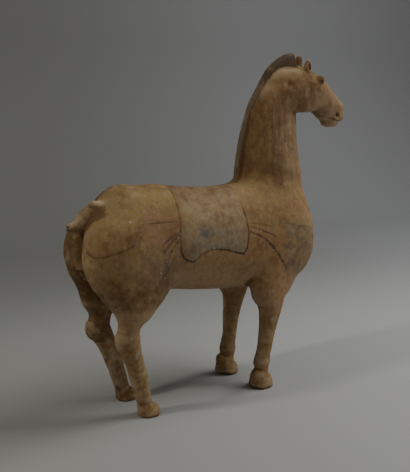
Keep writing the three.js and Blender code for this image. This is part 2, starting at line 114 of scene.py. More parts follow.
def leg_rows(rows, foot=(0, 0), fade=1, places=()):
    """A leg's stations as outline rows, with its foot and some places moved."""
    out = []
    for x, z, half_depth, half_width, y, tilt in rows:
        share = min(max(1 - z / fade, 0), 1)
        move_x, move_z = foot[0] * share, 0
        for height, reach, dx, dz in places:
            nearness = math.exp(-(((z - height) / reach) ** 2))
            move_x, move_z = move_x + dx * nearness, move_z + dz * nearness
        x, z, y = x + move_x, z + move_z, y + foot[1] * share
        dx = half_depth * math.cos(math.radians(tilt))
        dz = half_depth * math.sin(math.radians(tilt))
        out.append((x + dx, z + dz, x - dx, z - dz, half_width, y))
    return out


def spline(a, b, c, d, t):
    """Value, slope and bend at t of the smooth line (Catmull-Rom) from b to c."""
    p, q, r = c - a, 2 * a - 5 * b + 4 * c - d, 3 * b - a - 3 * c + d
    value = 0.5 * (2 * b + p * t + q * t**2 + r * t**3)
    slope = 0.5 * (p + 2 * q * t + 3 * r * t**2)
    return value, slope, q + 3 * r * t


def rounded(offset, radii, squareness):
    """Signed distance to a rounded block, an ellipsoid where the squareness is 2."""
    least_reach = 0.05  # in the very middle
    shares = [np.abs(o) / r for o, r in zip(offset, radii)]
    total = sum(s**squareness for s in shares)
    slope = sum((s ** (squareness - 1) / r) ** 2 for s, r in zip(shares, radii))
    reach = np.maximum(total ** (1 / squareness), least_reach)
    distance = (reach - 1) * reach ** (squareness - 1) / np.sqrt(np.maximum(slope, TINY**2))
    return np.maximum(distance, -np.minimum.reduce(radii))


class Limb:
    """Rounded sections strung on a smooth line through the stations."""

    def __init__(self, rows, side=1, squareness=2.0, caps=(1, 1), blend=0):
        r = np.array(rows, float)
        middle = (r[:, :2] + r[:, 2:4]) / 2
        half_depth = np.hypot(*(r[:, :2] - r[:, 2:4]).T) / 2
        off_middle = r[:, 5] * side if r.shape[1] > 5 else np.zeros(len(r))
        stations = np.column_stack([middle, half_depth, r[:, 4], off_middle])
        before, after = 2 * stations[0] - stations[1], 2 * stations[-1] - stations[-2]
        self.points = np.vstack([before, stations, after])
        self.last = len(stations) - 1
        self.squareness, self.caps, self.blend = squareness, caps, blend
        reach = half_depth.max() + FAR / 2
        self.low, self.high = middle.min(0) - reach, middle.max(0) + reach

    def at(self, u):
        """Value, slope and bend of the limb's line at u, counted in stations."""
        i = np.clip(u.astype(int), 0, self.last - 1)
        t = (u - i)[..., None]
        value, slope, bend = spline(*(self.points[i + k] for k in range(4)), t)
        return value, slope[..., :2], bend[..., :2]

    def reaches(self, x, z):
        return (x > self.low[0]) & (x < self.high[0]) & (z > self.low[1]) & (z < self.high[1])

    def section(self, x, z):
        """The nearest section to points of the side view, and the points' places in it."""
        least_turn = 0.3  # keeps the steps short where the line bends round the point
        place = np.stack([x, z], -1)
        nearest, u = np.full(x.shape, np.inf), np.zeros(x.shape)
        for tried in np.arange(self.last * COARSE_STEPS + 1) / COARSE_STEPS:
            gap = np.hypot(*(place - self.at(np.array([tried]))[0][..., :2]).T)
            u = np.where(gap < nearest, tried, u)
            nearest = np.minimum(nearest, gap)
        for _ in range(FINE_STEPS):
            value, slope, bend = self.at(u)
            gap = place - value[..., :2]
            steep = (slope**2).sum(-1)
            turn = np.maximum(steep - (gap * bend).sum(-1), least_turn * steep)
            u = np.clip(u + (gap * slope).sum(-1) / turn, 0, self.last)
        value, slope, _ = self.at(u)
        along_line = slope / np.linalg.norm(slope, axis=-1, keepdims=True)
        gap = place - value[..., :2]
        along = (gap * along_line).sum(-1)
        across = gap[..., 1] * along_line[..., 0] - gap[..., 0] * along_line[..., 1]
        at_start, at_end = (u <= 0) & (along < 0), (u >= self.last) & (along > 0)
        beyond = np.where(at_start | at_end, along, 0)
        cap = value[..., 2] * np.where(at_start, self.caps[0], self.caps[1])
        return across, beyond, value[..., 2], value[..., 3], value[..., 4], cap

    def distance(self, section, y):
        across, beyond, half_depth, half_width, middle, cap = section
        radii = [half_width, half_depth, cap]
        return rounded([y - middle, across, beyond], radii, self.squareness)


class Points:
    """Scattered points at which the form is measured."""

    def __init__(self, x, y, z):
        self.x, self.y, self.z = x, y, z

    def limb(self, limb):
        out = np.full(self.x.shape, FAR)
        near = limb.reaches(self.x, self.z)
        out[near] = limb.distance(limb.section(self.x[near], self.z[near]), self.y[near])
        return out


class Block:
    """A block of grid points at which the form is measured, column by column."""

    def __init__(self, x, y, z):
        self.side_view = np.meshgrid(x, z, indexing="ij")
        self.x, self.y, self.z = x[:, None, None], y[None, :, None], z[None, None, :]

    def limb(self, limb):
        x, z = self.side_view
        near = limb.reaches(x, z)
        section = [part[:, None] for part in limb.section(x[near], z[near])]
        out = np.full((len(self.x), self.y.shape[1], self.z.shape[2]), FAR)
        i, k = np.nonzero(near)
        out[i, :, k] = limb.distance(section, self.y[0, :, 0][None, :])
        return out


class Lump(NamedTuple):
    """A rounded block, tipped in side view and leaning back as it rises."""

    middle: tuple
    radii: tuple
    blend: float = 0  # how softly it is joined on or pressed in
    squareness: float = 2
    tilt: float = 0
    lean: float = 0

    def distance(self, space, side=1):
        x, y, z = self.middle
        dy, dz = space.y - y * side, space.z - z
        dx = space.x - x + self.lean * dz
        cos, sin = math.cos(math.radians(self.tilt)), math.sin(math.radians(self.tilt))
        return rounded([dx * cos + dz * sin, dy, dz * cos - dx * sin], self.radii, self.squareness)


class Tube(NamedTuple):
    """A straight tube, its radius running from one value to the other."""

    start: tuple
    end: tuple
    radius_start: float
    radius_end: float
    blend: float

    def distance(self, space, side=1):
        a, b = (np.array(end, float) * (1, side, 1) for end in (self.start, self.end))
        axis = b - a
        gap = [space.x - a[0], space.y - a[1], space.z - a[2]]
        share = np.clip(sum(g * c for g, c in zip(gap, axis)) / (axis**2).sum(), 0, 1)
        off = sum((g - share * c) ** 2 for g, c in zip(gap, axis))
        return np.sqrt(off) - (self.radius_start + share * (self.radius_end - self.radius_start))


def join(a, b, blend):
    """Rounded union."""
    overlap = np.maximum(blend - np.abs(a - b), 0) / blend
    return np.minimum(a, b) - overlap**2 * blend / 4


def carve(a, b, blend):
    """Rounded cut."""
    return -join(-a, b, blend)


def joined(d, space, shape, side=1):
    return join(d, shape.distance(space, side), shape.blend)


def pressed(d, space, shape, side=1):
    return carve(d, shape.distance(space, side), shape.blend)


# Lumps joined on and hollows pressed in, those of both sides given for the left one
BUTTOCK = Lump((-292, 57, 463), (84, 62, 92), blend=46)
BREAST = Lump((328, 40, 422), (78, 62, 101), blend=50)
POLL = Lump((322, 0, 897), (58, 38, 58), blend=30)
JOWL = Lump((378, 30, 870), (88, 16.5, 48), blend=10, squareness=3)
MUZZLE = Lump((546, 0, 822), (33, 27, 33), blend=12, squareness=3, lean=0.15)
CHIN = Lump((530, 0, 788), (31, 20, 15), blend=8, squareness=2.4)
EYEBALL = Lump((450, 36, 920), (15.5, 12, 14.5), blend=6)
NOSTRIL = Lump((535, 27, 813), (8, 9, 7.5), blend=3)
NOSTRIL_TAIL = Tube((535, 29, 812), (548, 27, 802), 4, 2, blend=3)
JAW_HOLLOW = Lump((318, 47, 908), (11, 10, 11), blend=12)
JAW_GROOVE = Tube((314, 47, 900), (287, 49, 850), 5, 3, blend=9)
TAIL_BUMP = Lump((-305, -8, 592), (24, 16, 9), blend=8, tilt=-14)
TAIL_HOLE = Tube((-415, 0, 535), (-373, 0, 537), 4.5, 4.2, blend=1.5)
LEFT_FETLOCK_TUFTS = [
    Lump((151, 72, 49), (15, 12, 17), blend=6),
    Lump((-231, 69, 83), (12, 11, 17), blend=6),
]

# Ears, right and left: the leaf, how far it narrows upwards, and its hollow
EARS = [
    (
        Lump((404, -27, 958), (15, 9, 25), tilt=-8), 0.45,
        Lump((408, -36, 962), (7, 8, 17.5), blend=2, tilt=-8),
    ),
    (
        Lump((415, 27, 962), (12, 9, 33), squareness=3, tilt=-8), 0.1,
        Lump((419, 36, 966), (7, 8, 23.1), blend=2, tilt=-8),
    ),
]
EAR_BLEND = 4
NARROWED = 0.8  # distances to an ear that narrows are kept this much shorter

# Slit of the mouth: x of its corner, a point that it passes, how steeply it falls forward, and
# how fast and how far it opens to either side
MOUTH_CORNER, MOUTH_POINT, MOUTH_FALL = 525, (560, 789), 0.2
MOUTH_OPENING, MOUTH_HALF_WIDTH = 0.08, 3.2

# The forehooves, beyond this x and below this height, are lifted behind: they leave the ground
# at an x and rise to their lift over a run
FOREHOOF_X, FOREHOOF_TOP = 80, 60
LIFT_X, LIFT_RUN, LIFT = 180, 30, 10

trunk = Limb(TRUNK, squareness=2.2, caps=(0.78, 0.75))
neck = Limb(NECK, caps=(0.3, 0.3), blend=34)
head = Limb(HEAD, squareness=2.6, caps=(0.5, 0.3), blend=6)
mane = Limb(MANE, squareness=3, caps=(0.25, 0.3), blend=5)
tail = Limb(TAIL, caps=(0.5, 0.5), blend=14)
groove = Limb(BUTTOCK_GROOVE, caps=(0.3, 0.3), blend=30)
legs = [
    Limb(leg_rows(rows, **moves), side, caps=(top_cap, 0.2), blend=blend)
    for rows, left_moves, top_cap, blend in (
        (FORELEG, LEFT_FORELEG, 0.8, 26), (HIND_LEG, LEFT_HIND_LEG, 0.5, 30),
    )
    for side, moves in ((-1, {}), (1, left_moves))
]


def body_form(space):
    """The horse without its mane and the details of the head."""
    skull = joined(space.limb(head), space, POLL)
    for lump, side in ((JOWL, -1), (JOWL, 1), (MUZZLE, 1), (CHIN, 1)):
        skull = joined(skull, space, lump, side)
    d = space.limb(trunk)
    for side in (-1, 1):
        for lump in (BUTTOCK, BREAST):
            d = joined(d, space, lump, side)
    d = join(d, space.limb(neck), neck.blend)
    d = join(d, skull, head.blend)
    d = carve(d, space.limb(groove), groove.blend)
    for limb in (*legs, tail):
        d = join(d, space.limb(limb), limb.blend)
    for lump in (TAIL_BUMP, *LEFT_FETLOCK_TUFTS):
        d = joined(d, space, lump)
    return d


def ears_added(d, space):
    for leaf, point, hollow in EARS:
        x, y, z = leaf.middle
        narrowing = 1 - point * np.clip((space.z - z) / leaf.radii[2], 0, 1)
        drawn = Points((space.x - x) / narrowing + x, (space.y - y) / narrowing + y, space.z)
        ear = pressed(leaf.distance(drawn) * NARROWED, space, hollow)
        d = join(d, ear, EAR_BLEND)
    return d


def mouth_cut(d, space):
    x, z = MOUTH_POINT
    opening = np.clip((space.x - MOUTH_CORNER) * MOUTH_OPENING, 0, MOUTH_HALF_WIDTH)
    slit = np.abs(space.z - z + MOUTH_FALL * (space.x - x)) - opening
    return np.maximum(d, -np.where(space.x > MOUTH_CORNER - 1, slit, FAR))


def horse_form(space):
    """The whole horse, cut off flat where it stands on the ground."""
    d = join(body_form(space), space.limb(mane), mane.blend)
    d = ears_added(d, space)
    for side in (-1, 1):
        d = joined(d, space, EYEBALL, side)
        for hollow in (NOSTRIL, NOSTRIL_TAIL, JAW_HOLLOW, JAW_GROOVE):
            d = pressed(d, space, hollow, side)
    d = mouth_cut(d, space)
    d = pressed(d, space, TAIL_HOLE)
    rise = np.clip((LIFT_X - space.x) / LIFT_RUN, 0, 1) * LIFT
    of_forehoof = (space.x > FOREHOOF_X) & (space.z < FOREHOOF_TOP)
    return np.maximum(d, np.where(of_forehoof, rise, 0) - space.z)


# ---- mesh ----
CORNERS = np.array([(i, j, k) for i in (0, 1) for j in (0, 1) for k in (0, 1)])
CELL_EDGES = [
    (a, b) for a in range(8) for b in range(a + 1, 8) if abs(CORNERS[a] - CORNERS[b]).sum() == 1
]
QUAD = ((0, 0), (1, 0), (1, 1), (0, 1))  # the four cells round an edge of the grid


def net_of(lines):
    """A net of quads round the form, one vertex in each grid cell that the surface crosses."""
    field = horse_form(Block(*lines))
    inside = field < 0
    cell_shape = tuple(n - 1 for n in field.shape)
    count = np.zeros(cell_shape, np.int8)
    for i, j, k in CORNERS:
        count += inside[i : i + cell_shape[0], j : j + cell_shape[1], k : k + cell_shape[2]]
    cells = np.argwhere((count > 0) & (count < 8))
    number = np.full(cell_shape, -1)
    number[tuple(cells.T)] = np.arange(len(cells))
    total, crossings = np.zeros((len(cells), 3)), np.zeros(len(cells))
    corner_at = [cells + c for c in CORNERS]
    value_at = [field[tuple(c.T)] for c in corner_at]
    place_at = [
        np.column_stack([line[corner[:, n]] for n, line in enumerate(lines)])
        for corner in corner_at
    ]
    for a, b in CELL_EDGES:
        crosses = (value_at[a] < 0) != (value_at[b] < 0)
        gap = np.where(crosses, value_at[a] - value_at[b], 1)
        share = (value_at[a] / gap)[:, None]
        total += np.where(crosses[:, None], place_at[a] + share * (place_at[b] - place_at[a]), 0)
        crossings += crosses
    quads = []
    for axis in range(3):
        b, c = (axis + 1) % 3, (axis + 2) % 3
        step = np.eye(3, dtype=int)
        near = inside.take(range(field.shape[axis] - 1), axis)
        far = inside.take(range(1, field.shape[axis]), axis)
        edges = np.argwhere(near != far)
        edges = edges[(edges[:, b] > 0) & (edges[:, c] > 0)]
        edges = edges[(edges[:, b] < cell_shape[b]) & (edges[:, c] < cell_shape[c])]
        ring = [number[tuple((edges - m * step[b] - n * step[c]).T)] for m, n in QUAD]
        ring = np.column_stack(ring)
        outward = near[tuple(edges.T)]
        quads.append(np.where(outward[:, None], ring, ring[:, ::-1]))
    return total / crossings[:, None], np.vstack(quads)


def split_quads(places, quads):
    """Triangles along each quad's shorter diagonal."""
    a, b, c, d = quads.T
    ac, bd = (np.linalg.norm(places[p] - places[q], axis=1) for p, q in ((a, c), (b, d)))
    along_ac = (ac < bd)[:, None]
    one = np.where(along_ac, np.column_stack([a, b, c]), np.column_stack([a, b, d]))
    two = np.where(along_ac, np.column_stack([a, c, d]), np.column_stack([b, c, d]))
    return np.vstack([one, two])


def edges_of(faces):
    return np.vstack([faces[:, [0, 1]], faces[:, [1, 2]], faces[:, [2, 0]]])


def refined(places, faces, marked):
    """Splits every edge whose two ends are marked at its middle."""
    edges = edges_of(faces)
    key = np.sort(edges, axis=1)
    key = key[:, 0] * len(places) + key[:, 1]
    unique, first, back = np.unique(key, return_index=True, return_inverse=True)
    ends = edges[first]
    cut = marked[ends].all(1)
    middle = np.full(len(unique), -1)
    middle[cut] = len(places) + np.arange(cut.sum())
    new_places = np.vstack([places, places[ends[cut]].mean(1)])
    ab, bc, ca = middle[back.reshape(3, -1)]
    a, b, c = faces.T
    parts = [faces[(ab < 0) & (bc < 0) & (ca < 0)]]
    full = (ab >= 0) & (bc >= 0) & (ca >= 0)
    for corner in ((a, ab, ca), (b, bc, ab), (c, ca, bc), (ab, bc, ca)):
        parts.append(np.column_stack(corner)[full])
    for p, q, r, m in ((a, b, c, ab), (b, c, a, bc), (c, a, b, ca)):
        half = (m >= 0) & ~full
        parts.append(np.column_stack([p, m, r])[half])
        parts.append(np.column_stack([m, q, r])[half])
    return new_places, np.vstack(parts)


def onto_surface(places):
    """Places moved along the form's slope until they lie on its surface."""
    reach, limit, least_slope = 0.6, 2.5, 0.05
    value = horse_form(Points(*places.T))
    ahead = [horse_form(Points(*(places + step).T)) for step in reach * np.eye(3)]
    slope = (np.column_stack(ahead) - value[:, None]) / reach
    step = slope / np.maximum((slope**2).sum(1), least_slope)[:, None]
    places = places - step * np.clip(value, -limit, limit)[:, None]
    value = horse_form(Points(*places.T))
    return places - step * np.clip(value, -limit, limit)[:, None]


def finer(places, faces, marked):
    """The net with the marked parts split, and the new vertices laid on the form."""
    old = len(places)
    places, faces = refined(places, faces, marked)
    places[old:] = onto_surface(places[old:])
    return places, faces


def vertex_normals(places, faces):
    a, b, c = (places[faces[:, n]] for n in range(3))
    face = np.cross(b - a, c - a)
    normals = np.zeros_like(places)
    for n in range(3):
        for axis in range(3):
            normals[:, axis] += np.bincount(faces[:, n], face[:, axis], len(places))
    return normals / np.maximum(np.linalg.norm(normals, axis=1, keepdims=True), TINY)


def neighbour_mean(values, faces, passes):
    """Values smoothed by taking the mean over each vertex's neighbours, some times over."""
    pairs = edges_of(faces)
    pairs = np.vstack([pairs, pairs[:, ::-1]])
    count = np.bincount(pairs[:, 0], minlength=len(values))
    for _ in range(passes):
        sums = [np.bincount(pairs[:, 0], column[pairs[:, 1]], len(count)) for column in values.T]
        values = np.column_stack(sums) / count[:, None]
    return values


def lumpiness(places, size, seed):
    """Smooth noise from -1 to 1 with lumps of the given size."""
    cells = 64
    origin = 1000  # keeps the places' numbers above zero
    lattice = np.random.default_rng(seed).uniform(-1, 1, (cells, cells, cells))
    p = places / size + origin
    base = np.floor(p).astype(int)
    t = p - base
    t = t * t * (3 - 2 * t)
    out = np.zeros(len(places))
    for corner in CORNERS:
        weight = np.prod(np.where(corner, t, 1 - t), axis=1)
        out += weight * lattice[tuple(((base + corner) % cells).T)]
    return out


# ---- what is painted and pressed on the surface, as points of the side view (x, z) ----
BLANKET = [
    (-109, 630), (-111, 610), (-114, 588), (-116, 539), (-120, 508), (-117, 461), (-108, 443),
    (-94, 433), (-74, 427), (-51, 446), (-25, 454), (0, 455), (34, 449), (70, 437), (97, 429),
    (108, 445), (113, 488), (110, 533), (106, 564), (108, 590), (111, 606), (114, 630),
]
BLANKET_LINE = 2.4  # half the width of its outline

# Painted lines: half the width in the middle, how much of the colour is left, and the points. Most
# are brush strokes, some are painted shade
STROKES = {
    "crupper": (3.2, 0.55, [
        (-373, 482), (-364, 471), (-346, 473), (-324, 479), (-304, 484), (-284, 490), (-270, 497),
    ]),
    "crupper_end": (2.2, 0.5, [(-251, 508), (-242, 515), (-233, 524)]),
    "rump_strap": (1.9, 0.65, [(-246, 547), (-211, 546), (-164, 546), (-122, 544)]),
    "back_line": (1.6, 0.8, [(-182, 634), (-162, 631), (-138, 627), (-114, 622)]),
    "rear_fan_1": (2.6, 0.7, [(-126, 514), (-153, 500), (-179, 484)]),
    "rear_fan_2": (3.0, 0.75, [(-126, 508), (-153, 486), (-176, 463)]),
    "rear_fan_3": (3.0, 0.7, [(-120, 498), (-141, 475), (-158, 450)]),
    "front_fan_1": (2.2, 0.6, [(117, 516), (156, 510), (196, 500)]),
    "front_fan_2": (2.8, 0.7, [(120, 507), (149, 496), (191, 479), (228, 460)]),
    "front_fan_3": (3.2, 0.85, [(117, 493), (172, 466), (219, 420), (255, 368)]),
    "breast_strap": (2.2, 0.5, [(230, 506), (260, 502), (312, 489), (387, 474)]),
    "girth": (1.3, 0.6, [(96, 430), (92, 400), (90, 366)]),
    "neck_1": (3.6, 0.36, [(257, 846), (249, 760), (242, 656)]),
    "neck_2": (2.8, 0.34, [(280, 846), (272, 760), (265, 655)]),
    "neck_3": (2.6, 0.3, [(306, 846), (299, 760), (292, 655)]),
    "cheek_1": (4.5, 0.4, [(376, 904), (377, 885), (374, 868)]),
    "cheek_2": (5.0, 0.45, [(404, 904), (405, 884), (403, 866)]),
    # Painted shade: along the mouth, along the lower edge of the muzzle and in the jaw's groove
    "mouth": (2.2, 0.55, [(497, 806), (519, 800), (540, 795), (562, 792)]),
    "muzzle_shade": (6.0, 0.4, [(440, 836), (456, 822), (474, 812), (492, 806)]),
    "jaw": (5.0, 0.2, [(318, 892), (306, 870), (294, 848)]),
    # Painted shade along the front fold of the thigh
    "thigh_fold_shade": (6.0, 0.3, [(-138, 452), (-150, 426), (-164, 409), (-184, 385), (-203, 365)]),
}
ONLY_RIGHT = {
    "rump_strap", "back_line", "girth", "neck_1", "neck_2", "neck_3", "cheek_1", "cheek_2",
    "thigh_fold_shade",
}
CREST_FOOT = [(280, 939), (302, 953), (333, 961), (374, 955)]
MANE_EDGE = [
    (150, 633), (163, 686), (177, 744), (190, 802), (209, 846), (233, 881), (257, 913), (280, 939),
]
MANE_BOX = (120, 374, 628)  # the mane lies between these x and above this z

# Small marks, each a middle in space and a radius: dark pits and white flecks of slip
# The last pit darkens the inside of the tail's hole as painted shade
PITS = [
    ((267, -73, 614), 4.5), ((450, -47, 917), 4.2), ((458, -47, 856), 2.4),
    ((402, -36, 975), 4.5), ((-393, 0, 536), 6.8),
]
FLECKS = [
    ((-268, -106, 556), 3.8), ((-259, -108, 553), 2.6), ((306, -63, 665), 3.2),
    ((300, -54, 733), 3.4), ((296, -60, 700), 2),
]

# Lines pressed into the clay, on the right side: half width, depth and points
CRACKS = [
    (1.8, 1.1, [(178, 130), (189, 132), (200, 133), (211, 131), (221, 133)]),
    (1.8, 1.0, [(118, 617), (113, 612), (107, 604), (103, 596)]),
    (1.5, 0.7, [(-226, 396), (-214, 390), (-200, 394)]),
]
# Rings pressed into the clay, round the eyes and on the cheek: half width, depth, middle,
# radius and sides
EYE = (451, 919)
RINGS = [(2.2, 1.3, EYE, 9.5, (-1, 1)), (2.0, 1.0, (458, 856), 5, (-1,))]

# Areas with soft edges, by their limits: each rises from 0 at its first number to 1 at its
# second, along x, y, z or another measure of the surface, such as off (distance from the middle
# plane), up (how far it faces upwards), curve and broad (above zero in small and in broad
# hollows) or cloth (distance outside the blanket)
THIGH_BACKS = [("x", -170, -220), ("off", 12, 26), ("z", 300, 330), ("z", 450, 410)]
LEDGE = [("ledge", -5, 7), ("ledge", 52, 16), ("x", 322, 336), ("x", 446, 432)]
CHEEKS = [("off", 24, 32)]
OUTLINE_END = [("z", 622, 628)]
# How strong the blanket's outline is everywhere, and how much more or less in some areas
OUTLINE_STRENGTH = [
    (0.42, []),
    (0.28, [("x", -70, -95)]),
    (-0.38, [("x", 40, 80), ("z", 575, 592)]),
    (0.4, [("x", -40, 60), ("z", 575, 550)]),
    (0.3, [("z", 480, 450)]),
]
AREAS = {
    "right": [("y", 6, -6)],
    "front": [("x", 0, 60)],
    "upper_sides": [("up", -0.1, 0.75)],
    "undersides": [("up", 0, -0.7), ("z", 250, 290)],
    "creases": [("curve", 0.08, 0.6)],
    "hollows": [("broad", 0.9, 3.2), ("z", 620, 590)],
    "rims": [("curve", -0.1, -0.7)],
    "blanket": [("cloth", 7, -12)],
    "low_blanket": [("cloth", 2, -4), ("z", 560, 450)],
    "top_blanket": [("cloth", 2, -4), ("z", 560, 610)],
    "hem": [("x", -80, -100)],
    "throat": [("throat", -8, 14), ("z", 600, 670), ("z", 900, 850)],
    "neck": [("z", 610, 690), ("z", 905, 860), ("x", 400, 370)],
    "whole_neck": [("z", 610, 640), ("z", 905, 860), ("x", 400, 370)],
    "neck_sides": [("off", 20, 45)],
    "below_crest": [("z", 930, 870)],
    "crest": [("z", 890, 930)],
    "crest_foot": [("mane", -2, 6), ("mane", 30, 8), ("z", 850, 930)],
    "skull": [("z", 895, 925), ("x", 250, 300)],
    # The top of the nose, painted paler as a highlight
    "nose_highlight": [("off", 24, 4), ("x", 440, 470), ("up", -0.1, 0.4)],
    "eyelids": [("eye", 14, 9)],
    "eye_sides": [("off", 30, 36)],
    "ears": [("z", 953, 962), ("x", 380, 388), ("y", -10, 5)],
    "low_flank": [("z", 440, 340), ("z", 200, 300)],
    "low_thigh": [("x", -110, -170), ("z", 440, 360), ("z", 298, 345)],
    "left_thigh": [("y", 8, 30), ("x", -200, -260), ("z", 300, 360)],
    "left_haunch": [("y", 15, 50), ("x", -200, -280)],
    "left_legs": [("y", 10, 50), ("z", 440, 330)],
    "legs": [("z", 262, 215)],
    "right_shank": [("x", -150, -200), ("y", -20, -40), ("z", 375, 295), ("z", 230, 255)],
    "right_cannon": [("y", 6, -6), ("x", -150, -200), ("z", 140, 170)],
    "seat": [("x", -300, -345), ("off", 34, 8), ("z", 300, 380)],
    "above_tail": [("z", 540, 556)],
    "tail_right": [("y", 30, 10)],
    "tail_back": [("x", -345, -375), ("up", -0.1, 0.5), ("z", 515, 530)],
    "soles": [("z", 11, 3)],
}

# Round stains of the side view: the middle (x, z) and the reach along x and z
SPOTS = {
    "tail_root": (-318, 572, 22, 26),
    "tail_slope": (-342, 570, 18, 15),
    "tail_bump": (-304, 601, 20, 10),
    "thigh_crust": (-262, 400, 46, 52),
    "thigh": (-185, 410, 75, 65),
    "flank": (-150, 425, 75, 60),
    "smudge": (-30, 500, 26, 18),
    "arm": (112, 372, 45, 35),
    "neck_foot": (258, 640, 38, 48),
    "jaw": (312, 895, 32, 36),
    "jaw_hollow": (325, 908, 11, 11),
    "below_jaw": (328, 850, 28, 16),
}

# Areas outlined in side view, and how far outside and inside the outline they fade
OUTLINED = {
    "patch": ([(-222, 500), (-213, 572), (-116, 568), (-126, 484)], 16, -16),
    "cheek": ([(300, 905), (470, 905), (520, 830), (480, 800), (330, 815)], 10, -12),
    "breast": ([(250, 392), (254, 503), (372, 492), (398, 378), (330, 335), (262, 350)], 16, -14),
}
THROAT_LINE = (242, 655, 0.079)  # x and z of its foot, and how far it leans forward as it rises

REACH = 30.0  # distances to lines are measured up to here


def smooth_path(points, gap=2.0):
    """Points close together on a smooth line through the given ones."""
    p = np.array(points, float)
    p = np.vstack([2 * p[0] - p[1], p, 2 * p[-1] - p[-2]])
    out = []
    for a, b, c, d in zip(p, p[1:], p[2:], p[3:]):
        t = np.arange(0, 1, gap / max(np.linalg.norm(c - b), gap))[:, None]
        out.append(spline(a, b, c, d, t)[0])
    return np.vstack(out + [p[-2:-1]])


def circle(middle, radius, steps=24):
    turn = np.linspace(0, 2 * math.pi, steps)
    return np.column_stack([middle[0] + radius * np.cos(turn), middle[1] + radius * np.sin(turn)])


def laid_on(paths, sides):
    """Paths of the side view laid on the horse's flanks, each coming from far out on its side."""
    far_out, steps, caution, most_back, most_forward = 150.0, 40, 0.85, -20, 60
    lengths = [len(path) for path in paths]
    x, z = np.vstack(paths).T
    side = np.repeat(sides, lengths)
    y = far_out * side
    for _ in range(steps):
        gap = np.clip(horse_form(Points(x, y, z)), most_back, most_forward)
        y = y - side * caution * gap
        y = np.where(y * side < 0, 0, y)
    return np.split(np.column_stack([x, y, z]), np.cumsum(lengths)[:-1])


def distance_to(path, places):
    """Distance from each place to the nearest point of a path, and how far along it that is."""
    tree = KDTree(len(path))
    for n, point in enumerate(path):
        tree.insert(point, n)
    tree.balance()
    low, high = path.min(0) - REACH, path.max(0) + REACH
    near = np.nonzero(((places > low) & (places < high)).all(1))[0]
    distance, share = np.full(len(places), REACH), np.zeros(len(places))
    for n in near:
        _, index, gap = tree.find(places[n])
        distance[n], share[n] = min(gap, REACH), index / (len(path) - 1)
    return distance, share


def polygon_distance(points, x, z):
    """Signed distance in side view to a closed outline, below zero inside."""
    p = np.array(points, float)
    q = np.roll(p, -1, axis=0)
    nearest, inside = np.full(x.shape, np.inf), np.zeros(x.shape, bool)
    for a, b in zip(p, q):
        along = b - a
        t = np.clip(((x - a[0]) * along[0] + (z - a[1]) * along[1]) / (along**2).sum(), 0, 1)
        nearest = np.minimum(nearest, np.hypot(x - a[0] - t * along[0], z - a[1] - t * along[1]))
        spans = (a[1] > z) != (b[1] > z)
        rise = along[1] if along[1] else TINY
        inside ^= spans & (x < a[0] + along[0] * (z - a[1]) / rise)
    return np.where(inside, -nearest, nearest)


def soft(value, low, high):
    """0 below low, 1 above high, smooth between; also falling, where low is above high."""
    t = np.clip((value - low) / (high - low), 0, 1)
    return t * t * (3 - 2 * t)


def bell(value, middle, reach):
    """1 in the middle, fading away on both sides."""
    return np.exp(-(((value - middle) / reach) ** 2))


def within(limits, places, **measures):
    """How far each vertex lies within an area, from 0 to 1."""
    x, y, z = places.T
    measures = {"x": x, "y": y, "z": z, "off": abs(y), **measures}
    return math.prod(soft(measures[kind], low, high) for kind, low, high in limits)


# ---- the net: finer along the lines and on the head ----
SPACING = 5.6
GRID_BOX = ((-416, 604), (-142, 142), (-12.3, 1012))
LINE_MARGIN = 6
BLANKET_TOP = 626
HEAD_FROM = (190, 775)  # x and z above which the head lies
BROW_FROM, MUZZLE_FROM = (385, 890), (515, 850)  # the ears and eyes, and the lips below

places, quads = net_of([np.arange(low, high, SPACING) for low, high in GRID_BOX])
faces = split_quads(places, quads)
places = onto_surface(places)

painted_lines = [
    (half_width, strength, smooth_path(points), side)
    for name, (half_width, strength, points) in STROKES.items()
    for side in ((-1,) if name in ONLY_RIGHT else (-1, 1))
]
pressed_lines = [(width, depth, smooth_path(points), -1) for width, depth, points in CRACKS]
pressed_lines += [
    (half_width, depth, circle(middle, radius), side)
    for half_width, depth, middle, radius, sides in RINGS
    for side in sides
]
lines = painted_lines + pressed_lines
laid = laid_on([line[2] for line in lines], [line[3] for line in lines])
painted_paths, pressed_paths = laid[: len(painted_lines)], laid[len(painted_lines) :]

x, _, z = places.T
near_line = (np.abs(polygon_distance(BLANKET, x, z)) < LINE_MARGIN) & (z < BLANKET_TOP)
for path in laid:
    near_line |= distance_to(path, places)[0] < LINE_MARGIN
on_head = (x > HEAD_FROM[0]) & (z > HEAD_FROM[1])
places, faces = finer(places, faces, near_line | on_head)
x, _, z = places.T
on_brow = (x > BROW_FROM[0]) & (z > BROW_FROM[1])
on_muzzle = (x > MUZZLE_FROM[0]) & (z < MUZZLE_FROM[1])
places, faces = finer(places, faces, on_brow | on_muzzle)

# ---- the hand that made it: smoothing, soft undulation, and lines pressed into the clay ----
RUBBING = 14  # passes of smoothing on the backs of the thighs
UNDULATION = [(0.9, 55, 1), (0.45, 24, 2), (0.16, 9, 3)]  # height, size of the lumps and seed
CALM_HEAD = (800, 0.45)  # above this height the undulation has this share
CALM_FEET = (6, 30)  # it begins at the first height, and is full after rising by the second
LEDGE_LINE = ([322, 360, 392, 436], [918, 920, 915, 907])  # top of the ledge across the cheek
LEDGE_DEPTH = 1.7

rubbed = neighbour_mean(places, faces, RUBBING)
places = places + within(THIGH_BACKS, places)[:, None] * (rubbed - places)

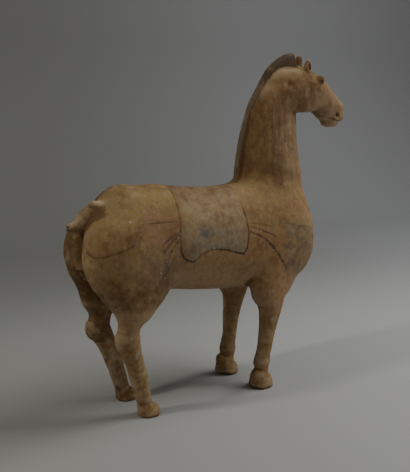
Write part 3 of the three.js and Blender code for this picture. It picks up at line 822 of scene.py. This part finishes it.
x, y, z = places.T
normals = vertex_normals(places, faces)
calm = np.where(z > CALM_HEAD[0], CALM_HEAD[1], 1)
calm *= np.clip((z - CALM_FEET[0]) / CALM_FEET[1], 0, 1)
relief = calm * sum(height * lumpiness(places, size, seed) for height, size, seed in UNDULATION)
ledge = within(LEDGE, places, ledge=np.interp(x, *LEDGE_LINE) - z)
relief -= LEDGE_DEPTH * ledge * within(CHEEKS, places)
for (half_width, depth, *_), path in zip(pressed_lines, pressed_paths):
    relief -= depth * soft(distance_to(path, places)[0], half_width, 0)
places = places + normals * relief[:, None]

# ---- colour fields, one value for each vertex ----
x, y, z = places.T
normals = vertex_normals(places, faces)
curve, broad = (
    ((neighbour_mean(places, faces, passes) - places) * normals).sum(1) for passes in (2, 12)
)

# Distance to the nearest painted line, brush strokes and lines of painted shade alike
ink_and_shade_lines, ink_and_shade_strength = np.full(len(places), REACH), np.zeros(len(places))
for (half_width, strength, *_), path in zip(painted_lines, painted_paths):
    distance, share = distance_to(path, places)
    taper = 0.45 + 0.55 * np.sin(math.pi * np.clip(share, 0.04, 0.96)) ** 0.5
    gap = distance - half_width * taper
    ink_and_shade_strength = np.where(gap < ink_and_shade_lines, strength, ink_and_shade_strength)
    ink_and_shade_lines = np.minimum(ink_and_shade_lines, gap)

cloth = polygon_distance(BLANKET, x, z)
outline = np.abs(cloth) - BLANKET_LINE + REACH * within(OUTLINE_END, places)
outline_strength = sum(weight * within(limits, places) for weight, limits in OUTLINE_STRENGTH)
ink_and_shade_strength = np.where(outline < ink_and_shade_lines, outline_strength, ink_and_shade_strength)
ink_and_shade_lines = np.minimum(ink_and_shade_lines, outline)

mane_line = smooth_path(MANE_EDGE)
behind_edge = x - np.interp(z, mane_line[:, 1], mane_line[:, 0])
above_foot = np.interp(x, *np.array(CREST_FOOT).T) - z
mane_gap = np.clip(np.minimum(behind_edge, above_foot), -REACH, REACH)
in_mane_box = (x > MANE_BOX[0]) & (x < MANE_BOX[1]) & (z > MANE_BOX[2])
mane_band = np.where(in_mane_box, mane_gap, REACH)

throat_x, throat_z, throat_lean = THROAT_LINE
from_eye = np.hypot(x - EYE[0], z - EYE[1])
measures = {
    "up": normals[:, 2], "curve": curve, "broad": broad, "cloth": cloth, "mane": mane_band,
    "throat": x - throat_x - (z - throat_z) * throat_lean, "eye": from_eye,
}
areas = {name: within(limits, places, **measures) for name, limits in AREAS.items()}
spots = {
    name: bell(x, middle_x, reach_x) * bell(z, middle_z, reach_z)
    for name, (middle_x, middle_z, reach_x, reach_z) in SPOTS.items()
}
outlined = {
    name: soft(polygon_distance(points, x, z), outside, inside)
    for name, (points, outside, inside) in OUTLINED.items()
}
on = SimpleNamespace(**areas, **spots, **outlined)


def from_marks(marks):
    """Distance from the nearest of some round marks."""
    gaps = [np.linalg.norm(places - middle, axis=1) - radius for middle, radius in marks]
    return np.min(gaps, axis=0).clip(-5, 20)


earth = (on.creases + on.hollows) * on.below_crest * (1 - 0.85 * on.right_shank)
earth += 0.9 * on.tail_root * bell(y, -34, 30) + 0.8 * on.tail_slope * on.above_tail
earth += 0.3 * on.thigh_crust * on.right + 0.8 * on.seat
# Darker brown over the cheeks, breast, neck, skull and top of the blanket, and painted shade on the
# lower thighs and the far thigh
shade_and_dark_clay = 0.32 * on.cheek + 0.25 * on.breast + on.whole_neck * (0.44 - 0.14 * on.throat)
shade_and_dark_clay += 0.7 * on.low_thigh + 0.85 * on.left_thigh + 0.5 * on.top_blanket + 0.45 * on.skull
# Painted highlight on the tail's bump and on the top of its cone, where no soil is laid
tail_highlight = on.tail_bump * on.tail_right + 0.5 * on.tail_back
plain = ("crest", "neck", "low_blanket", "breast", "patch", "nose_highlight", "ears", "soles")
fields = {
    **{name: vars(on)[name] for name in plain},
    "ink_and_shade_lines": ink_and_shade_lines,
    "ink_and_shade_strength": ink_and_shade_strength,
    "pit": from_marks(PITS),
    "fleck": from_marks(FLECKS),
    "mane_band": mane_band,
    # Surfaces facing up: the clay there is painted more yellow, and with a little more slip, as
    # painted top light
    "up": on.upper_sides,
    # Painted light: pale slip on surfaces facing down and on the right shank stands in for light
    # thrown up from the floor
    "painted_bounce_light": on.undersides + 0.35 * on.right_shank,
    "earth": np.clip(earth, 0, 1.5),
    "soiled": 1 - tail_highlight,
    "rose": np.clip(on.patch + 0.75 * on.throat + 0.8 * on.cheek + 0.45 * on.low_flank, 0, 1),
    "grey": np.clip(on.blanket + 0.6 * on.breast + 0.5 * on.throat, 0, 1),
    "neck_stain": on.neck_foot * on.neck_sides,
    "border": bell(cloth, -5, 7) * on.hem,
    "smudge": on.smudge * on.right,
    "flank": on.flank * on.right,
    "mauve": on.thigh * on.right,
    "arm": on.arm * on.right,
    "leg": on.legs * (1 - 0.4 * on.front) * (1 - 0.6 * on.right_cannon),
    # Painted shade on the far legs and the far haunch, fainter on the far foreleg
    "far_side_shade": np.maximum(on.left_legs * (1 - 0.88 * on.front), 0.9 * on.left_haunch),
    "shade_and_dark_clay": np.clip(shade_and_dark_clay, 0, 1),
    "rim": on.rims * (1 - on.jaw),
    "eye": (0.8 * bell(from_eye, 10, 2.6) + 0.4 * on.eyelids) * on.eye_sides,
    # Painted shade in the hollow behind the jaw and the groove below it
    "hollow": on.jaw_hollow + 0.25 * on.below_jaw,
    "cheek_shade": ledge,
    # Painted highlight: pale slip at the foot of the crest and on the top of the tail
    "painted_highlight": 0.35 * on.crest_foot + 0.55 * tail_highlight,
}


def added(name, data):
    """A new object in the scene."""
    piece = bpy.data.objects.new(name, data)
    bpy.context.scene.collection.objects.link(piece)
    return piece


mesh = bpy.data.meshes.new("earthenware_horse")
in_frame = places * UNIT - np.array([MIDDLE_X, 0, 0])
mesh.from_pydata(in_frame.tolist(), [], faces.tolist())
mesh.validate()
mesh.shade_smooth()
for name, values in fields.items():
    attribute = mesh.attributes.new(name, "FLOAT", "POINT")
    attribute.data.foreach_set("value", values.astype(np.float32))
horse = added("earthenware_horse", mesh)

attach(horse, "root")
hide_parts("horse")

# ---- camera ----
PHOTO_HEIGHT = 472  # pixels
FOCAL_LENGTH = 746.0  # in the same pixels
SENSOR = 36  # millimetres
CAMERA_AZIMUTH, CAMERA_DIP = -35.193, 10.753
CAMERA_PLACE = (-0.657 - MIDDLE_X, -0.9634, 0.4822)

camera_data = bpy.data.cameras.new("photo_camera")
camera_data.sensor_width = SENSOR
camera_data.lens = SENSOR * FOCAL_LENGTH / PHOTO_HEIGHT
camera = added("photo_camera", camera_data)
camera.location = CAMERA_PLACE
camera.rotation_euler = (math.radians(90 - CAMERA_DIP), 0, math.radians(CAMERA_AZIMUTH))
bpy.context.scene.camera = camera


# ---- material ----
def operator(operation, turned=False):
    def calculated(self, other):
        values = [other, self] if turned else [self, other]
        return make(self.tree, "ShaderNodeMath", {"operation": operation}, values)

    return calculated


class Value:
    """A socket of the shader that can be calculated with."""

    def __init__(self, socket):
        self.socket = socket
        self.tree = socket.id_data

    __add__ = __radd__ = operator("ADD")
    __mul__ = __rmul__ = operator("MULTIPLY")
    __sub__, __rsub__ = operator("SUBTRACT"), operator("SUBTRACT", turned=True)

    def band(self, low, high):
        """0 at low, 1 at high, smooth between."""
        settings = {"interpolation_type": "SMOOTHSTEP"}
        return make(self.tree, "ShaderNodeMapRange", settings, [self, low, high, 0.0, 1.0])


def make(tree, kind, settings, values=(), output=0):
    """A node with its settings, then its inputs in order, as one of its outputs."""
    made = tree.nodes.new(kind)
    for name, setting in settings.items():
        setattr(made, name, setting)
    inputs = [socket for socket in made.inputs if socket.enabled]
    for place, value in enumerate(values):
        if isinstance(value, Value):
            tree.links.new(value.socket, inputs[place])
        elif value is not None:
            inputs[place].default_value = value
    outputs = [socket for socket in made.outputs if socket.enabled]
    return Value(outputs[output])


def blended(share, first, second):
    """Colour between two colours."""
    settings = {"data_type": "RGBA", "clamp_factor": True}
    colours = [(*c, 1) if isinstance(c, tuple) else c for c in (first, second)]
    return make(share.tree, "ShaderNodeMix", settings, [share, *colours])


material = bpy.data.materials.new("earthenware")
material.use_nodes = True
tree = material.node_tree
shader = tree.nodes["Principled BSDF"]
OBJECT_OUTPUT, FACTOR_OUTPUT = 3, 2  # of the texture coordinate node and the attribute node
position = make(tree, "ShaderNodeTexCoord", {}, output=OBJECT_OUTPUT)


def field(name):
    return make(tree, "ShaderNodeAttribute", {"attribute_name": name}, output=FACTOR_OUTPUT)


def noise(size, detail, roughness=0.6, stretch=(1, 1, 1)):
    """Noise from 0 to 1 with spots of the given size in metres."""
    scale = tuple(1 / s for s in stretch)
    place = make(tree, "ShaderNodeVectorMath", {"operation": "MULTIPLY"}, [position, scale])
    return make(tree, "ShaderNodeTexNoise", {}, [place, 1 / size, detail, roughness])


def dots(density):
    """Distance from scattered points, in shares of their spacing."""
    return make(tree, "ShaderNodeTexVoronoi", {"feature": "F1"}, [position, density])


CLAY = (0.32, 0.198, 0.09)
YELLOW_CLAY_AND_TOP_LIGHT = (0.285, 0.192, 0.07)
ROSE_CLAY = (0.32, 0.195, 0.12)
SLIP = (0.50, 0.39, 0.24)
GREY_PAINT = (0.37, 0.293, 0.175)
# Dark brown, for dirt and stains and for painted shade
DARK_BROWN = (0.12, 0.062, 0.022)
BLUE_GREY = (0.12, 0.12, 0.115)
NOSE_HIGHLIGHT = (0.47, 0.44, 0.43)
# Near black, for painted lines and marks and for painted shade
NEAR_BLACK = (0.035, 0.025, 0.017)
MANE_BROWN = (0.16, 0.115, 0.07)
CREST_BROWN = (0.085, 0.055, 0.032)
ROSE_PAINT = (0.40, 0.20, 0.10)
BEIGE = (0.45, 0.34, 0.20)
MAUVE = (0.25, 0.175, 0.125)
RUST = (0.25, 0.12, 0.048)
CRUST = (0.44, 0.37, 0.28)
FLECK_WHITE = (0.56, 0.49, 0.38)
FLAKE_WHITE = (0.62, 0.56, 0.46)

noises = {
    "broad": noise(0.11, 3, 0.55),
    "cloud": noise(0.045, 4),
    "middling": noise(0.020, 5),
    "patchy": noise(0.009, 4),
    "fine": noise(0.0038, 4, 0.65),
    "dappled": noise(0.0072, 3, stretch=(1, 1, 1.6)),
    "grain": noise(0.0011, 3),
    "brushed": noise(0.006, 4, stretch=(1, 1, 7)),
    "streaked": noise(0.013, 4, stretch=(1, 1, 8)),
    "wiped": noise(0.005, 3, stretch=(7, 1, 1)),
}

# Layers of colour, the lowest first: the colour, the field that it keeps to, its strength, and
# if it is patchy the noises and fields that are added up with their weights, the band of that
# sum in which it sets in, and a least strength
MOTTLED = {"middling": 0.5, "patchy": 0.5}
LAYERS = {
    "rose clay": (ROSE_CLAY, "rose", 1, {"middling": 1}, (0.3, 0.6)),
    "grey paint": (
        GREY_PAINT, "grey", 0.85, {"cloud": 0.6, "patchy": 0.3, "fine": 0.2}, (0.36, 0.6),
    ),
    # Slip lies a little more on surfaces facing up, as painted top light
    "slip": (
        SLIP, None, 0.5, {"middling": 0.5, "patchy": 0.35, "brushed": 0.3, "up": 0.1}, (0.6, 0.84),
    ),
    "stains": (DARK_BROWN, None, 0.7, {"cloud": 0.6, "middling": 0.5, "flank": 0.16}, (0.56, 0.74)),
    "grime": (DARK_BROWN, None, 0.12, {"fine": 1}, (0.42, 0.72)),
    "rust": (RUST, None, 0.5, {"middling": 0.6, "cloud": 0.3, "fine": 0.15}, (0.46, 0.62)),
    "patches": (DARK_BROWN, None, 0.36, {"patchy": 1}, (0.46, 0.66)),
    "dapples": (BEIGE, None, 0.32, {"dappled": 0.8, "fine": 0.3}, (0.56, 0.74)),
    "brush marks": (DARK_BROWN, None, 0.3, {"brushed": 1}, (0.52, 0.7)),
    "neck streaks": (DARK_BROWN, "neck", 0.5, {"streaked": 1}, (0.46, 0.62)),
    "flank soot": (NEAR_BLACK, "flank", 0.3, {"patchy": 1}, (0.45, 0.6)),
    "flank crust": (CRUST, "flank", 0.5, {"patchy": 0.5, "fine": 0.6}, (0.56, 0.66)),
    "thigh": (MAUVE, "mauve", 0.6, MOTTLED, (0.3, 0.6)),
    "thigh streaks": (NEAR_BLACK, "mauve", 0.3, {"streaked": 1}, (0.5, 0.64)),
    "smudge": (BLUE_GREY, "smudge", 0.9, MOTTLED, (0.38, 0.56)),
    "low blanket": (BLUE_GREY, "low_blanket", 0.4, {"cloud": 0.6, "patchy": 0.4}, (0.35, 0.6)),
    "breast": (BLUE_GREY, "breast", 0.4, MOTTLED, (0.4, 0.6)),
    "arm": (DARK_BROWN, "arm", 0.45, {"patchy": 1}, (0.3, 0.6)),
    "blanket border": (RUST, "border", 0.6, {"middling": 1}, (0.25, 0.5)),
    # Painted light thrown up from the floor
    "undersides": (SLIP, "painted_bounce_light", 0.3),
    "neck stain": (DARK_BROWN, "neck_stain", 0.9, MOTTLED, (0.25, 0.55)),
    "leg dirt": (DARK_BROWN, "leg", 0.56, {"patchy": 0.6, "streaked": 0.5}, (0.46, 0.66)),
    "leg slip": (SLIP, "leg", 0.4, {"fine": 0.5, "brushed": 0.6}, (0.6, 0.74)),
    "eyes": (DARK_BROWN, "eye", 0.75),
    # Painted shade in the jaw's hollow
    "jaw hollow shade": (DARK_BROWN, "hollow", 0.9),
    "ears": (DARK_BROWN, "ears", 0.5),
    # Painted highlight along the top of the nose
    "nose highlight": (NOSE_HIGHLIGHT, "nose_highlight", 0.4, {"middling": 1}, (0.3, 0.5), 0.45),
    "rose patch": (ROSE_PAINT, "patch", 0.4, {"middling": 0.6, "patchy": 0.4}, (0.35, 0.6)),
    "hatching": (DARK_BROWN, "patch", 0.3, {"wiped": 1}, (0.5, 0.62)),
    "soil": (DARK_BROWN, "soiled", 0.8, {"earth": 0.9, "middling": 1.3, "fine": 0.5}, (1.2, 1.75)),
    # Painted shade on the far side
    "far side shade": (DARK_BROWN, "far_side_shade", 0.35, {"patchy": 1}, (0.3, 0.6), 0.4),
    # Darker brown on the head, neck, breast and back, and painted shade on the thighs
    "shade_and_dark_clay": (DARK_BROWN, "shade_and_dark_clay", 1.5, MOTTLED, (0.2, 0.7)),
    "cheek": (DARK_BROWN, "cheek_shade", 0.4, {"patchy": 1}, (0.35, 0.55)),
    "rims": (SLIP, "rim", 0.5, {"middling": 1}, (0.35, 0.6)),
    # Painted highlight at the foot of the crest and on the tail
    "painted_highlight": (SLIP, "painted_highlight", 1),
    "soles": (DARK_BROWN, "soles", 0.5),
}


def mixed(weights):
    """Noises and fields added up with their weights."""
    parts = [(noises.get(name) or field(name)) * weight for name, weight in weights.items()]
    return sum(parts[1:], parts[0])


# The clay turns yellow in broad random patches and on the neck, and on surfaces facing up as
# painted top light
yellow_tone_and_top_light = mixed({"up": 0.75, "neck": 0.4, "broad": 1.6}) - 0.8
clay = blended(yellow_tone_and_top_light, CLAY, YELLOW_CLAY_AND_TOP_LIGHT)
covers = {}
for name, (colour, where, strength, *patchiness) in LAYERS.items():
    share = strength
    if patchiness:
        weights, set_in, *least = patchiness
        covers[name] = mixed(weights).band(*set_in)
        share = covers[name] * strength + sum(least)
    clay = blended(field(where) * share if where else share, clay, colour)

# The mane: its edge and the line along it wander, and its paint is worn in streaks
middling, fine = noises["middling"], noises["fine"]
hair = (middling - 0.5) * 10 + (fine - 0.5) * 10 - field("mane_band")
hair_edge = hair.band(-2, 1) * hair.band(5, 2)
hair_left = mixed({"streaked": 0.8, "patchy": 0.5, "fine": 0.3}).band(0.48, 0.82)
hair_colour = blended(field("crest"), MANE_BROWN, CREST_BROWN)
clay = blended(hair.band(-1, 3) * hair_left * 0.93, clay, hair_colour)
clay = blended(hair_edge * 0.4, clay, NEAR_BLACK)

# The painted lines, brush strokes and lines of painted shade, then the small marks (the one in the
# tail's hole is painted shade), specks and flakes
line = (field("ink_and_shade_lines") + (fine - 0.5) * 3 + (middling - 0.5) * 3).band(1.9, -1.6)
line_left = mixed({"patchy": 0.6, "middling": 0.5}).band(0.38, 0.62)
clay = blended(line * (line_left * 0.6 + 0.35) * field("ink_and_shade_strength"), clay, NEAR_BLACK)
clay = blended(field("pit").band(1.5, -1.5) * 0.8, clay, NEAR_BLACK)
clay = blended((field("fleck") + (fine - 0.5) * 5).band(1.2, -1.2) * 0.6, clay, FLECK_WHITE)
speck = dots(260.0).band(0.2, 0.08) * middling.band(0.5, 0.62)
clay = blended(speck * 0.7, clay, NEAR_BLACK)
flake = (dots(95.0) + (fine - 0.5) * 0.3).band(0.15, 0.09) * noise(0.05, 2, 0.55).band(0.62, 0.66)
clay = blended(flake * 0.6, clay, FLAKE_WHITE)
tree.links.new(clay.socket, shader.inputs["Base Color"])

rough = 0.92 - covers["soil"] * 0.06 - covers["slip"] * 0.12
tree.links.new(rough.socket, shader.inputs["Roughness"])
shader.inputs["Specular IOR Level"].default_value = 0.25
grain = mixed({"fine": 0.5, "grain": 0.22, "brushed": 0.3, "middling": 0.9})
height = grain + covers["soil"] * 0.25
BUMP_STRENGTH, BUMP_DISTANCE = 0.55, 0.0011
bump = make(tree, "ShaderNodeBump", {}, [BUMP_STRENGTH, BUMP_DISTANCE, None, height])
tree.links.new(bump.socket, shader.inputs["Normal"])
mesh.materials.append(material)


# ---- floor and light ----
def paper_sweep(name):
    """A floor that turns up into a wall in a quarter circle, as a photographer's paper does."""
    near, far, side, height, radius, steps = 4, 1.9, 5, 4, 0.7, 16
    turns = [math.pi / 2 * n / steps for n in range(steps + 1)]
    bend = [(far - radius * (1 - math.sin(t)), radius * (1 - math.cos(t))) for t in turns]
    profile = [(-near, 0.0), *bend, (far, height)]
    data = bpy.data.meshes.new(name)
    vertices = [(x, y, z) for y, z in profile for x in (-side, side)]
    faces = [(2 * n, 2 * n + 1, 2 * n + 3, 2 * n + 2) for n in range(len(profile) - 1)]
    data.from_pydata(vertices, [], faces)
    data.shade_smooth()
    return added(name, data)


# The paper's grey, darkened towards the left and the far back as painted shade where less light
# falls: given from left to right, on the floor near the horse and far away
NEAR_LEFT, NEAR_RIGHT = (0.32, 0.32, 0.30), (0.41, 0.41, 0.405)
FAR_LEFT, FAR_RIGHT = (0.20, 0.20, 0.19), (0.30, 0.305, 0.31)
PAPER_TURN = 24  # degrees from the camera's direction

floor = paper_sweep("paper_floor")
floor.rotation_euler = (0, 0, math.radians(CAMERA_AZIMUTH + PAPER_TURN))
paper = bpy.data.materials.new("grey_paper")
paper.use_nodes = True
paper_tree = paper.node_tree
paper_place = make(paper_tree, "ShaderNodeTexCoord", {}, output=OBJECT_OUTPUT)
along, away = (
    make(paper_tree, "ShaderNodeSeparateXYZ", {}, [paper_place], output) for output in (0, 1)
)
near_grey_and_shade = blended(along.band(-0.4, 0.5), NEAR_LEFT, NEAR_RIGHT)
far_grey_and_shade = blended(along.band(0.0, 1.4), FAR_LEFT, FAR_RIGHT)
paper_grey_and_shade = blended(away.band(0.1, 0.85), near_grey_and_shade, far_grey_and_shade)
paper_shader = paper_tree.nodes["Principled BSDF"]
paper_tree.links.new(paper_grey_and_shade.socket, paper_shader.inputs["Base Color"])
paper_shader.inputs["Roughness"].default_value = 0.95
floor.data.materials.append(paper)


def softbox(name, place, size, power, colour):
    """A square soft light aimed at the horse."""
    data = bpy.data.lights.new(name, "AREA")
    data.shape = "SQUARE"
    data.size, data.energy, data.color = size, power, colour
    light = added(name, data)
    light.location = place
    light.rotation_euler = (AIM - light.location).to_track_quat("-Z", "Y").to_euler()


AIM = Vector((0, 0, 0.2))
COOL, WARM, FAINT_WARM = (0.98, 0.99, 1), (1, 0.97, 0.90), (1, 0.98, 0.93)
softbox("window_right", (1.32225, -0.46751, 1.85), size=1.25, power=31.5, colour=COOL)
softbox("window_left", (-1.78538, 0.15782, 1.6), size=0.2, power=12.5, colour=WARM)
softbox("floor_bounce", (0.82239, -1.43655, 0.55), size=1.0, power=2.0, colour=FAINT_WARM)

world = bpy.data.worlds.new("room")
world.use_nodes = True
background = world.node_tree.nodes["Background"]
background.inputs["Color"].default_value = (1, 0.98, 0.92, 1)
background.inputs["Strength"].default_value = 0.16
bpy.context.scene.world = world
